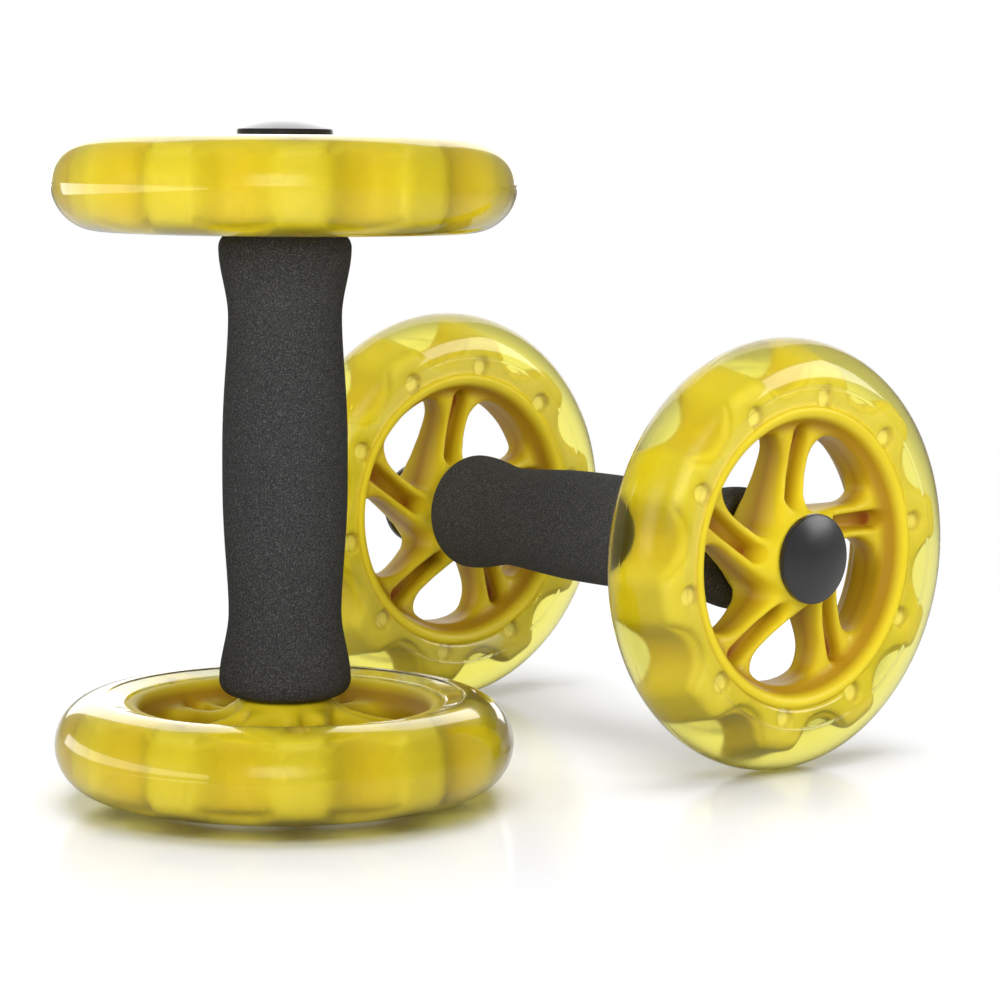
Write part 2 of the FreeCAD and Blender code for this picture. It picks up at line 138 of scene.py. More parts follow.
# a net of quads over the zero surface of a field of distances, negative inside:
# one point in each cell that the surface crosses, one quad round each grid edge that it crosses
def surfaceNet(field, low, step):
    inside = field < 0
    filled = inside.astype(np.int8)
    for axis in range(3):
        ordered = np.moveaxis(filled, axis, 0)
        filled = np.moveaxis(ordered[:-1] + ordered[1:], 0, axis)
    crossed = (filled > 0) & (filled < 8)  # some of the cell's eight corners are inside
    cells = np.argwhere(crossed)
    ids = np.full(crossed.shape, -1)
    ids[crossed] = np.arange(len(cells))
    total = np.zeros(cells.shape)
    hits = np.zeros(len(cells))
    quads = []
    for axis in range(3):
        along, step1, step2 = np.roll(np.eye(3, dtype=int), -axis, axis=0)
        for first in (0, 1):
            for second in (0, 1):
                start = cells + first * step1 + second * step2
                near = field[tuple(start.T)]
                far = field[tuple((start + along).T)]
                hit = (near < 0) != (far < 0)
                share = near[hit] / (near[hit] - far[hit])
                total[hit] += first * step1 + second * step2 + share[:, None] * along
                hits[hit] += 1
        before = np.moveaxis(inside, axis, 0)[:-1]
        after = np.moveaxis(inside, axis, 0)[1:]
        edges = np.argwhere(before != after)
        outward = before[tuple(edges.T)]
        order = [axis] + [other for other in range(3) if other != axis]
        place = np.empty_like(edges)
        place[:, order] = edges
        ring = [place - step1 - step2, place - step2, place, place - step1]
        quad = np.stack([ids[tuple(corner.T)] for corner in ring], axis=-1)
        quads.append(np.where(outward[:, None], quad, quad[:, ::-1]))
    return low + step * (cells + total / hits[:, None]), np.vstack(quads)


# a lathe carries a (radius, height) profile round the axle: x = r cos t, y = r sin t, z = height;
# a profile that isn't closed begins and ends on the axle
def lathe(name, profile, place, material, steps, closed=True):
    turn = np.linspace(0, fullTurn, steps, endpoint=False)[:, None]
    radius, height = profile[:, 0][None, :], profile[:, 1][None, :]
    grid = np.stack([radius * np.cos(turn), radius * np.sin(turn), height + 0 * turn], axis=-1)
    ids = np.arange(grid.shape[0] * grid.shape[1]).reshape(grid.shape[:2])
    ids = np.vstack([ids, ids[:1]])
    if closed:
        ids = np.hstack([ids, ids[:, :1]])
    faces = np.stack([ids[:-1, :-1], ids[1:, :-1], ids[1:, 1:], ids[:-1, 1:]], axis=-1)
    return meshObject(name, placed(grid.reshape(-1, 3), place), faces.reshape(-1, 4), material)


# materials
noiseSpan = (0.3, 0.7)  # where nearly all values of a noise lie


def newMaterial(name):
    material = bpy.data.materials.new(name)
    material.use_nodes = True
    tree = material.node_tree
    return material, tree, tree.nodes["Principled BSDF"]


# a node with its sockets or settings filled in by name
def addNode(tree, kind, **values):
    node = tree.nodes.new(kind)
    for key, value in values.items():
        if key in node.inputs:
            node.inputs[key].default_value = value
        else:
            setattr(node, key, value)
    return node


def link(tree, source, target):
    tree.links.new(source, target)


def ramp(tree, stops):
    node = tree.nodes.new("ShaderNodeValToRGB")
    elements = node.color_ramp.elements
    while len(elements) < len(stops):
        elements.new(0.5)
    for element, (position, colour) in zip(elements, stops):
        element.position = position
        element.color = (*colour, 1.0)
    return node


def addMath(tree, operation, first, second):
    node = addNode(tree, "ShaderNodeMath", operation=operation)
    link(tree, first, node.inputs[0])
    link(tree, second, node.inputs[1])
    return node.outputs["Value"]


# the surface shows the first shader where the factor is 0 and the second where it is 1
def mixShaders(tree, factor, first, second):
    pick = tree.nodes.new("ShaderNodeMixShader")
    link(tree, factor, pick.inputs["Fac"])
    link(tree, first, pick.inputs[1])
    link(tree, second, pick.inputs[2])
    link(tree, pick.outputs["Shader"], tree.nodes["Material Output"].inputs["Surface"])


grainSettings = {
    "detail": 3.0,
    "roughness": 0.6,
    "patchScale": 38.0,
    "patchDetail": 4.0,
}


# fine uneven grain of a moulded surface: a height for bump and a mask of broad patches
def grainGroup(s):
    group = bpy.data.node_groups.new("mouldedGrain", "ShaderNodeTree")
    group.interface.new_socket("Scale", in_out="INPUT", socket_type="NodeSocketFloat")
    group.interface.new_socket("Height", in_out="OUTPUT", socket_type="NodeSocketFloat")
    group.interface.new_socket("Patch", in_out="OUTPUT", socket_type="NodeSocketFloat")
    start = group.nodes.new("NodeGroupInput")
    end = group.nodes.new("NodeGroupOutput")
    place = group.nodes.new("ShaderNodeTexCoord")
    fine = addNode(group, "ShaderNodeTexNoise", Detail=s["detail"], Roughness=s["roughness"])
    broad = addNode(group, "ShaderNodeTexNoise", Scale=s["patchScale"], Detail=s["patchDetail"])
    link(group, place.outputs["Object"], fine.inputs["Vector"])
    link(group, place.outputs["Object"], broad.inputs["Vector"])
    link(group, start.outputs["Scale"], fine.inputs["Scale"])
    link(group, fine.outputs["Fac"], end.inputs["Height"])
    link(group, broad.outputs["Fac"], end.inputs["Patch"])
    return group


mouldedGrain = grainGroup(grainSettings)


def addGrain(tree, scale):
    node = tree.nodes.new("ShaderNodeGroup")
    node.node_tree = mouldedGrain
    node.inputs["Scale"].default_value = scale
    return node


# bump is a strength and a depth in metres
def addBump(tree, height, shader, bump):
    node = addNode(tree, "ShaderNodeBump", Strength=bump[0], Distance=bump[1])
    link(tree, height, node.inputs["Height"])
    link(tree, node.outputs["Normal"], shader.inputs["Normal"])


# roughness goes from low to high over the patches of the grain
def addRoughness(tree, grain, shader, span):
    spread = addNode(tree, "ShaderNodeMapRange")
    spread.inputs["From Min"].default_value = noiseSpan[0]
    spread.inputs["From Max"].default_value = noiseSpan[1]
    spread.inputs["To Min"].default_value = span[0]
    spread.inputs["To Max"].default_value = span[1]
    link(tree, grain.outputs["Patch"], spread.inputs["Value"])
    link(tree, spread.outputs["Result"], shader.inputs["Roughness"])


# colour drifts between two tones over the patches of the grain
def addTones(tree, grain, tones):
    tint = ramp(tree, list(zip(noiseSpan, tones)))
    link(tree, grain.outputs["Patch"], tint.inputs["Fac"])
    return tint.outputs["Color"]


# opaque yellow, lemon in the tyre, each tint laid over the last by its own mask: painted shade, warmer
# deep inside the wheel, darker in the lug valleys and orange in the channels, and painted light, pale in
# the pockets
coreFinish = {
    "grain": 900.0,
    "tones": ((0.84, 0.655, 0.018), (0.87, 0.690, 0.022)),
    "tintsAndPaintedLight": {
        # painted shade: warmer and darker deep inside the wheel and on the rim's inner wall
        "deep": (0.48, 0.27, 0.010),
        "cast": (0.58, 0.48, 0.014),
        # painted shade: darker golden in the lug valleys under the tyre
        "valley": (0.53, 0.41, 0.012),
        # painted shade: dark orange in the spoke channels, strongest at their ends
        "channel": (0.28, 0.07, 0.006),
        # painted light: pale pocket floors, standing for light seen through the anchor holes
        "pocket": (0.82, 0.74, 0.24),
    },
    "roughness": (0.34, 0.44),
    "specular": 0.4,
    "bump": (0.10, 0.0002),
}


def yellowCore(s):
    material, tree, shader = newMaterial("yellowCore")
    grain = addGrain(tree, s["grain"])
    colour = addTones(tree, grain, s["tones"])
    # each mask lays its colour over the last: the lemon under the tyre, the painted shade and the
    # painted light
    for mask, tint in s["tintsAndPaintedLight"].items():
        amount = addNode(tree, "ShaderNodeAttribute", attribute_name=mask)
        blend = addNode(tree, "ShaderNodeMix", data_type="RGBA")
        link(tree, amount.outputs["Fac"], blend.inputs["Factor"])
        link(tree, colour, blend.inputs["A"])
        blend.inputs["B"].default_value = (*tint, 1)
        colour = blend.outputs["Result"]
    link(tree, colour, shader.inputs["Base Color"])
    addRoughness(tree, grain, shader, s["roughness"])
    addBump(tree, grain.outputs["Height"], shader, s["bump"])
    shader.inputs["Specular IOR Level"].default_value = s["specular"]
    return material


# clear cast polyurethane: lemon by depth, under a gloss of its own, with a shadow that lets light by
tyreFinish = {
    "tint": (0.99, 0.985, 0.90),
    "index": 1.25,
    "coat": 1.0,
    "coatIndex": 1.5,
    "coatRoughness": 0.05,
    "grain": 260.0,
    "roughness": (0.18, 0.26),
    "bump": (0.03, 0.0004),
    "depthColour": (0.995, 0.96, 0.11),
    "density": 62.0,
    "shadow": (0.42, 0.415, 0.38),
}


def clearTyre(s):
    material, tree, shader = newMaterial("clearTyre")
    shader.inputs["Base Color"].default_value = (*s["tint"], 1)
    shader.inputs["Transmission Weight"].default_value = 1.0
    shader.inputs["IOR"].default_value = s["index"]
    shader.inputs["Coat Weight"].default_value = s["coat"]
    shader.inputs["Coat IOR"].default_value = s["coatIndex"]
    shader.inputs["Coat Roughness"].default_value = s["coatRoughness"]
    grain = addGrain(tree, s["grain"])
    addRoughness(tree, grain, shader, s["roughness"])
    addBump(tree, grain.outputs["Height"], shader, s["bump"])
    absorb = addNode(tree, "ShaderNodeVolumeAbsorption", Density=s["density"])
    absorb.inputs["Color"].default_value = (*s["depthColour"], 1)
    link(tree, absorb.outputs["Volume"], tree.nodes["Material Output"].inputs["Volume"])
    lightPath = tree.nodes.new("ShaderNodeLightPath")
    seeThrough = addNode(tree, "ShaderNodeBsdfTransparent")
    seeThrough.inputs["Color"].default_value = (*s["shadow"], 1)
    mixShaders(tree, lightPath.outputs["Is Shadow Ray"], shader.outputs["BSDF"],
               seeThrough.outputs["BSDF"])
    return material


# closed cell foam: dark with fine paler specks and a pitted skin
foamFinish = {
    "cells": 2100.0,
    "specks": 2300.0,
    "speckDetail": 2.0,
    "speckRoughness": 0.75,
    "tones": ((0.36, (0.040, 0.040, 0.041)), (0.52, (0.064, 0.064, 0.065)),
              (0.70, (0.180, 0.180, 0.182))),
    "grain": 1200.0,
    "roughness": (0.72, 0.86),
    "specular": 0.08,
    "bump": (0.45, 0.0003),
}


def speckledFoam(s):
    material, tree, shader = newMaterial("speckledFoam")
    place = tree.nodes.new("ShaderNodeTexCoord")
    cells = addNode(tree, "ShaderNodeTexVoronoi", Scale=s["cells"])
    link(tree, place.outputs["Object"], cells.inputs["Vector"])
    speck = addNode(tree, "ShaderNodeTexNoise", Scale=s["specks"], Detail=s["speckDetail"],
                    Roughness=s["speckRoughness"])
    link(tree, place.outputs["Object"], speck.inputs["Vector"])
    tint = ramp(tree, s["tones"])
    link(tree, speck.outputs["Fac"], tint.inputs["Fac"])
    link(tree, tint.outputs["Color"], shader.inputs["Base Color"])
    grain = addGrain(tree, s["grain"])
    addRoughness(tree, grain, shader, s["roughness"])
    shader.inputs["Specular IOR Level"].default_value = s["specular"]
    addBump(tree, cells.outputs["Distance"], shader, s["bump"])
    return material


# satin black caps: a soft coat over a dark moulding
capFinish = {
    "grain": 2600.0,
    "tones": ((0.014, 0.014, 0.015), (0.021, 0.021, 0.022)),
    "roughness": (0.26, 0.34),
    "coat": 0.6,
    "coatRoughness": 0.26,
    "bump": (0.12, 0.0002),
}


def satinBlack(s):
    material, tree, shader = newMaterial("satinBlack")
    grain = addGrain(tree, s["grain"])
    link(tree, addTones(tree, grain, s["tones"]), shader.inputs["Base Color"])
    addRoughness(tree, grain, shader, s["roughness"])
    shader.inputs["Coat Weight"].default_value = s["coat"]
    shader.inputs["Coat Roughness"].default_value = s["coatRoughness"]
    addBump(tree, grain.outputs["Height"], shader, s["bump"])
    return material


# pieces inside: a plain finish each, a little paler and rougher in patches
innerFinish = {
    "grain": 1400.0,
    "paler": 1.25,
    "rougher": 0.12,
    "bump": (0.1, 0.0002),
}


def hiddenFinish(name, colour, metallic, roughness):
    material, tree, shader = newMaterial(name)
    grain = addGrain(tree, innerFinish["grain"])
    paler = tuple(min(1.0, innerFinish["paler"] * part) for part in colour)
    link(tree, addTones(tree, grain, (colour, paler)), shader.inputs["Base Color"])
    shader.inputs["Metallic"].default_value = metallic
    addRoughness(tree, grain, shader, (roughness, roughness + innerFinish["rougher"]))
    addBump(tree, grain.outputs["Height"], shader, innerFinish["bump"])
    return material


finishes = {
    "core": yellowCore(coreFinish),
    "tyre": clearTyre(tyreFinish),
    "foam": speckledFoam(foamFinish),
    "cap": satinBlack(capFinish),
    "steel": hiddenFinish("platedSteel", (0.48, 0.48, 0.50), 1.0, 0.26),
    "nylon": hiddenFinish("naturalNylon", (0.66, 0.64, 0.57), 0.0, 0.42),
    "plug": hiddenFinish("plugPlastic", (0.018, 0.018, 0.019), 0.0, 0.5),
}
print("finishes made:", ", ".join(finishes))


# wheel core, in millimetres about its own middle: five channelled spokes in a rim with a ring of lugs
coreSettings = {
    "hub": 14.5,
    "hubHalf": 13.5,
    "hubJoin": 2.0,
    "bore": 7.0,
    "counterbore": 9.0,
    "boreSeat": 8.0,
    "spokes": 5,
    "offset": 9.5,
    "halfWidth": 6.0,
    "sideDraft": 0.07,
    "flare": 2.6,
    "flareSpan": (28.0, 44.0),
    "flareLimit": 1.3,
    "spokeStart": 4.0,
    "spokeEnd": 1.0,
    "hubCorner": 7.0,
    "rimCorner": 13.0,
    "ribRound": 3.0,
    "envelope": ((0.0, 14.5, 16.0, 21.0, 27.0, 36.0, 44.0), (13.5, 13.5, 12.2, 9.6, 7.9, 6.8, 6.5)),
    "channel": (17.5, 39.5),
    "channelHalf": (1.9, 2.6),
    "channelDraft": 0.16,
    "channelFloor": 1.2,
    "channelEdge": 1.8,
    "web": 1.2,
    "opening": 47.0,
    "wallDraft": 3.0,
    "edge": 50.6,
    "lipHalf": 13.0,
    "lipRound": 2.4,
    "lipJoin": 0.6,
    "rimJoin": 3.0,
    "lug": 64.0,
    "lugFace": 11.6,
    "lugRound": 4.5,
    "lugBlend": 6.5,
    "lugs": 10,
    "lugTurn": 27.0,
    "valley": (10.5, 7.0),
    "bite": (11.0, 9.0),
    "biteFloor": 10.0,
    "biteBlend": 3.0,
    "pocketReach": 53.8,
    "pocketRadius": 3.2,
    "pocketFloor": 8.6,
    "pocketBlend": 1.8,
}
# the net's grid step and margin in steps, then how its points are walked to the surface
coreNet = {
    "step": 0.8,
    "margin": 2,
    "walks": 3,
    "walkLimit": 0.3,
    "nudge": 0.05,
    "leastSlope": 0.1,
}


# a point's (reach, side) in the repeat of a ring pattern that it lies in
def foldRing(x, y, count, turn):
    pitch = fullTurn / count
    swing = (np.arctan2(y, x) - math.radians(turn) + pitch / 2) % pitch - pitch / 2
    reach = np.hypot(x, y)
    return reach * np.cos(swing), reach * np.sin(swing)


# a point's (along, side) for each spoke in turn, side counted from the spoke's middle line
def spokeFrames(x, y, s):
    for turn in np.arange(s["spokes"]) * fullTurn / s["spokes"]:
        along = x * math.cos(turn) + y * math.sin(turn)
        side = y * math.cos(turn) - x * math.sin(turn) - s["offset"]
        yield along, side


# distance to the middle line of the nearest spoke's channel, beyond the channel's half width
def channelSide(x, y, away, s):
    start, end = s["channel"]
    narrow, wide = s["channelHalf"]
    nearest = np.full(np.shape(x), np.inf)
    for along, side in spokeFrames(x, y, s):
        share = rise(along, start, end - start)
        half = narrow + (wide - narrow) * share
        half = half + s["channelDraft"] * np.maximum(away - s["web"], 0)
        nearest = np.minimum(nearest, np.hypot(along - start - share * (end - start), side) - half)
    return nearest


# distance to the sides of the spokes as seen along the axle, negative within a spoke: half the width,
# less the draft, plus a flare that grows with the square of the reach, rounded where spokes meet
def spokeSide(x, y, away, s):
    nearest = np.full(np.shape(x), 1000.0)  # far from every spoke
    low, high = s["flareSpan"]
    for along, side in spokeFrames(x, y, s):
        half = s["halfWidth"] - s["sideDraft"] * away
        half = half + s["flare"] * np.clip((along - low) / (high - low), 0, s["flareLimit"]) ** 2
        spoke = smoothMax(np.abs(side) - half, -along, s["spokeStart"])
        nearest = smoothMin(nearest, spoke, s["hubCorner"])
    return nearest


# distance to the round wall of the nearest anchor pocket, one in the middle of each lug
def pocketSide(x, y, s):
    reach, side = foldRing(x, y, s["lugs"], s["lugTurn"] + 180 / s["lugs"])
    return np.hypot(reach - s["pocketReach"], side) - s["pocketRadius"]


# distance to the core: the lug ring less valleys, bites and pockets, joined to the lip and cut by the
# opening; then spokes under their envelope and the hub are joined on, less channels and bore
def coreField(x, y, z, s):
    away = np.abs(z)
    radius = np.hypot(x, y)
    spokeTop = np.interp(radius, *s["envelope"])
    lugReach, lugSide = foldRing(x, y, s["lugs"], s["lugTurn"])
    valleyRound, valleyDepth = s["valley"]
    biteRound, biteDepth = s["bite"]
    valley = np.hypot(lugReach - s["lug"] + valleyDepth - valleyRound, lugSide) - valleyRound
    bite = np.hypot(lugReach - s["lug"] + biteDepth - biteRound, lugSide) - biteRound
    ring = smoothMax(radius - s["lug"], away - s["lugFace"], s["lugRound"])
    ring = smoothMax(ring, -valley, s["lugBlend"])
    ring = smoothMax(ring, -np.maximum(bite, s["biteFloor"] - away), s["biteBlend"])
    pocket = np.maximum(pocketSide(x, y, s), s["pocketFloor"] - away)
    ring = smoothMax(ring, -pocket, s["pocketBlend"])
    lip = smoothMax(radius - s["edge"], away - s["lipHalf"], s["lipRound"])
    deep = fall(away, s["lipHalf"], s["lipHalf"] - s["envelope"][1][-1])
    wall = s["opening"] - s["wallDraft"] * deep - radius
    rim = smoothMax(smoothMin(ring, lip, s["lipJoin"]), wall, s["lipRound"])
    flat = smoothMin(spokeSide(x, y, away, s), wall, s["rimCorner"])
    spokes = smoothMax(flat, away - spokeTop, s["ribRound"])
    spokes = smoothMax(spokes, radius - s["edge"], s["spokeEnd"])
    hub = smoothMax(radius - s["hub"], away - s["hubHalf"], s["lipRound"])
    core = smoothMin(smoothMin(spokes, hub, s["hubJoin"]), rim, s["rimJoin"])
    channel = smoothMax(channelSide(x, y, away, s), s["web"] - away, s["channelFloor"])
    core = smoothMax(core, -channel, s["channelEdge"])
    seat = np.maximum(radius - s["counterbore"], s["boreSeat"] - away)
    bore = np.minimum(radius - s["bore"], seat)
    return np.maximum(core, -bore)


# slope of the core's field: its difference across a small nudge along each axis
def coreSlope(points, s, nudge):
    shifts = nudge * np.eye(3)
    rises = [coreField(*(points + shift).T, s) - coreField(*(points - shift).T, s) for shift in shifts]
    return np.stack(rises, axis=-1) / (2 * nudge)


# the core's net; each walk then moves a point by distance x slope / slope squared
def coreShape(s, net):
    half = np.array([s["lug"], s["lug"], s["hubHalf"]]) + net["margin"] * net["step"]
    axes = [np.arange(-reach, reach + net["step"], net["step"]) for reach in half]
    grid = np.meshgrid(*axes, indexing="ij")
    points, quads = surfaceNet(coreField(*grid, s), -half, net["step"])
    for walk in range(net["walks"]):
        away = coreField(*points.T, s)
        slope = coreSlope(points, s, net["nudge"])
        shift = away / np.maximum((slope ** 2).sum(axis=1), net["leastSlope"])
        points = points - np.clip(shift, -net["walkLimit"], net["walkLimit"])[:, None] * slope
    return points, quads


# where each tint and painted shade of the core fades, in millimetres: a limit and the width of the fade
coreFades = {
    "deepHeight": (8.5, 8.5),
    "wallHeight": (12.5, 3.0),
    "wallRadius": (40.0, 4.0),
    "castWidth": 1.5,
    "valleyRadius": (63.0, 6.0),
    "valleyHeight": (10.0, 3.0),
    "channelSide": (0.16, 0.8),
    "channelHeight": (3.6, 2.4),
    "channelEnds": 1.5,
    "channelMiddle": 0.25,
    "pocketSide": (0.48, 1.6),
}


# how much of each tint and painted light a point takes: fades by height, radius and distance to channel
# and pocket, multiplied; a channel's painted shade grows from its middle to its ends by a power
def coreMasks(points, s, fades):
    x, y, z = points.T
    away = np.abs(z)
    radius = np.hypot(x, y)
    start, end = s["channel"]
    ends = np.abs(2 * rise(radius, start, end - start) - 1) ** fades["channelEnds"]
    strength = fades["channelMiddle"] + (1 - fades["channelMiddle"]) * ends
    within = fall(channelSide(x, y, away, s), *fades["channelSide"])
    low = fall(away, *fades["channelHeight"])
    wall = fall(away, *fades["wallHeight"]) * rise(radius, *fades["wallRadius"])
    sunk = fall(radius, *fades["valleyRadius"]) * fall(away, *fades["valleyHeight"])
    inTyre = radius > s["edge"]
    return {
        # painted shade deep inside the wheel and on the rim's inner wall
        "deep": np.maximum(fall(away, *fades["deepHeight"]), wall),
        "cast": rise(radius, s["edge"], fades["castWidth"]),
        # painted shade in the lug valleys
        "valley": sunk * inTyre,
        # painted shade in the spoke channels
        "channel": within * low * strength * (radius < s["opening"]),
        # painted light on the pocket floors
        "pocket": fall(pocketSide(x, y, s), *fades["pocketSide"]) * inTyre,
    }


corePoints, coreQuads = coreShape(coreSettings, coreNet)
coreTintsAndPaintedLight = coreMasks(corePoints, coreSettings, coreFades)
print("core shaped,", len(coreQuads), "quads")


def spokedCore(roller, end):
    wheel = f"{roller}_{end}_wheel"
    made = meshObject(f"{roller}_{end}_spoked_core", placed(corePoints, wheelPlaces[wheel]), coreQuads,
                      finishes["core"], merge=False)
    # the masks of tint, painted shade and painted light go onto the mesh as attributes
    for mask, values in coreTintsAndPaintedLight.items():
        made.data.attributes.new(mask, "FLOAT", "POINT").data.foreach_set("value", values)
    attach(made, wheel)
    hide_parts(f"{wheel}_core")


# tyre: full round section with a parting ridge, a seam line on each flank and its foot inside the core
tyreSettings = {
    "crownRadius": 15.0,
    "widest": 57.5,
    "seam": 56.5,
    "seamHeight": 14.6,
    "seamGroove": 0.16,
    "seamWidth": 0.25,
    "edge": 50.8,
    "edgeHeight": 13.2,
    "edgeRound": 0.5,
    "edgeShift": 0.3,
    "foot": 49.2,
    "footHeight": 11.4,
    "ridge": 0.05,
    "ridgeWidth": 0.35,
    "steps": 240,
}
# points along the section: the crown's crowd towards the ridge, the flank's towards the seam
tyrePoints = {
    "crown": 121,
    "crowding": 1.5,
    "outerGap": (0.2, 0.9),
    "outer": 8,
    "seamReach": 0.75,
    "seam": 17,
    "innerGap": (1.0, 0.4),
    "inner": 14,
    "corner": 7,
    "foot": 6,
}


# crown: a half circle, raised by a bell of the height at its middle; flank: drops by the square of the
# reach down to the seam, then straight to the edge, with a bell-shaped groove at the seam
def tyreProfile(s, count):
    spread = np.linspace(-1, 1, count["crown"])
    angle = 0.5 * math.pi * np.sign(spread) * np.abs(spread) ** count["crowding"]
    ridge = s["ridge"] * np.exp(-((s["crownRadius"] * np.sin(angle) / s["ridgeWidth"]) ** 2))
    crown = np.stack([s["widest"] + (s["crownRadius"] + ridge) * np.cos(angle),
                      (s["crownRadius"] + ridge) * np.sin(angle)], axis=-1)
    outerStart, outerEnd = s["widest"] - count["outerGap"][0], s["seam"] + count["outerGap"][1]
    innerStart, innerEnd = s["seam"] - count["innerGap"][0], s["edge"] + count["innerGap"][1]
    seamStart, seamEnd = s["seam"] + count["seamReach"], s["seam"] - count["seamReach"]
    reach = np.concatenate([np.linspace(outerStart, outerEnd, count["outer"]),
                            np.linspace(seamStart, seamEnd, count["seam"]),
                            np.linspace(innerStart, innerEnd, count["inner"])])
    outside = fall(reach, s["widest"], s["widest"] - s["seam"])
    inside = fall(reach, s["seam"], s["seam"] - s["edge"])
    height = s["crownRadius"] - (s["crownRadius"] - s["seamHeight"]) * outside ** 2
    height -= (s["seamHeight"] - s["edgeHeight"]) * inside
    height -= s["seamGroove"] * np.exp(-(((reach - s["seam"]) / s["seamWidth"]) ** 2))
    flank = np.stack([reach, height], axis=-1)
    corner = arc((s["edge"] + s["edgeShift"], s["edgeHeight"] - s["edgeRound"]), s["edgeRound"],
                 90, 180, count["corner"])
    foot = np.stack([np.full(count["foot"], s["foot"]),
                     np.linspace(s["footHeight"], 0, count["foot"])], axis=-1)
    upper = np.vstack([flank, corner, foot])
    lower = upper[::-1][1:] * np.array([1, -1])
    return np.vstack([crown, upper, lower])


def castTyre(roller, end):
    wheel = f"{roller}_{end}_wheel"
    made = lathe(f"{roller}_{end}_cast_tyre", tyreProfile(tyreSettings, tyrePoints), wheelPlaces[wheel],
                 finishes["tyre"], tyreSettings["steps"])
    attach(made, wheel)
    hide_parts(f"{roller}_{end}_tyre")


# foam grip: radius swells at the middle and the ends and draws in at two waists
gripSettings = {
    "half": 73.0,
    "corner": 5.0,
    "bore": 14.0,
    "endRadius": 20.8,
    "waistRadius": 17.8,
    "middleRadius": 19.7,
    "waist": 46.5,
    "fullness": 1.4,
    "faceGap": 0.6,
    "sidePoints": 181,
    "cornerPoints": 14,
    "facePoints": 4,
    "borePoints": 8,
    "steps": 160,
}


# three times the square less twice the cube: 0 to 1 with level ends
def ease(value):
    return value * value * (3 - 2 * value)


# radius: the middle's, eased to the waist's by a power of the height, then eased to the end's
def gripProfile(s):
    shoulder = s["half"] - s["corner"]
    height = np.linspace(-shoulder, shoulder, s["sidePoints"])
    away = np.abs(height)
    inner = ease(rise(away, 0, s["waist"]) ** s["fullness"])
    outer = ease(rise(away, s["waist"], shoulder - s["waist"]))
    radius = s["middleRadius"] + (s["waistRadius"] - s["middleRadius"]) * inner
    radius += (s["endRadius"] - s["waistRadius"]) * outer
    side = np.stack([radius, height], axis=-1)
    cornerReach = s["endRadius"] - s["corner"]
    corner = arc((cornerReach, shoulder), s["corner"], 0, 90, s["cornerPoints"])[1:]
    face = np.stack([np.linspace(cornerReach - s["faceGap"], s["bore"], s["facePoints"]),
                     np.full(s["facePoints"], s["half"])], axis=-1)
    bore = np.stack([np.full(s["borePoints"], s["bore"]),
                     np.linspace(s["half"], -s["half"], s["borePoints"] + 2)[1:-1]], axis=-1)
    flip = np.array([1, -1])
    return np.vstack([side, corner, face, bore, face[::-1] * flip, corner[::-1] * flip])


def foamGrip(roller):
    made = lathe(f"{roller}_contoured_grip", gripProfile(gripSettings), handlePlace(roller),
                 finishes["foam"], gripSettings["steps"])
    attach(made, f"{roller}_handle")
    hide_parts(f"{roller}_foam_grip")


# end cap: a rim that stands proud of the hub on a short neck, under a dome that is part of a sphere
capSettings = {
    "rim": 15.0,
    "neck": 13.8,
    "base": 13.5,
    "rimBase": 14.9,
    "rimTop": 16.9,
    "round": 0.6,
    "edgeRound": 0.4,
    "edgeArc": (-60, 0, 6),
    "lipArc": (0, 75, 8),
    "top": 19.5,
    "domePoints": 48,
    "pad": 6.5,
    "skirt": 8.9,
    "skirtInside": 7.5,
    "skirtEnd": 11.5,
    "ceiling": 17.5,
    "steps": 160,
}


# dome: a sphere through the rim and the top, its radius (reach squared + rise squared) / twice the rise
def capProfile(s):
    reach = np.linspace(s["rim"] - s["round"], 0, s["domePoints"])
    domeRise = s["top"] - s["rimTop"]
    sphere = (reach[0] ** 2 + domeRise ** 2) / (2 * domeRise)
    dome = s["top"] - sphere + np.sqrt(sphere ** 2 - reach ** 2)
    under = np.array([[0, s["ceiling"]], [s["pad"], s["ceiling"]], [s["skirtInside"], s["base"]],
                      [s["skirtInside"], s["skirtEnd"]], [s["skirt"], s["skirtEnd"]],
                      [s["skirt"], s["base"]], [s["neck"], s["base"]]])
    edge = arc((s["rim"] - s["edgeRound"], s["rimBase"]), s["edgeRound"], *s["edgeArc"])
    lip = arc((s["rim"] - s["round"], dome[0] - s["round"]), s["round"], *s["lipArc"])
    return np.vstack([under, edge, lip, np.stack([reach, dome], axis=-1)])


# the cap at the low end of an axle faces the other way: up and along are turned about
def endCap(roller, end):
    wheel = f"{roller}_{end}_wheel"
    place = dict(wheelPlaces[wheel])
    if end == rollers[roller][0]:
        place["axes"] = place["axes"] * np.array([[1], [-1], [-1]])
    made = lathe(f"{roller}_{end}_domed_cap", capProfile(capSettings), place, finishes["cap"],
                 capSettings["steps"], closed=False)
    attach(made, wheel)
    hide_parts(f"{roller}_{end}_end_cap")


for roller, ends in rollers.items():
    foamGrip(roller)
    for end in ends:
        spokedCore(roller, end)
        castTyre(roller, end)
        endCap(roller, end)
    print(roller, "roller dressed")

nodeFinish = {
    "axle_rod": "steel",
    "handle_tube": "steel",
    "axle_screw": "steel",
    "retaining_washer": "steel",
    "inner_bush": "nylon",
    "outer_bush": "nylon",
    "spacer_collar": "nylon",
    "handle_plug": "plug",
}
for name, node in frame["nodes"].items():
    for ending, finish in nodeFinish.items():
        if name.endswith(ending):
            node.data.materials.clear()
            node.data.materials.append(finishes[finish])
print("inner pieces finished")


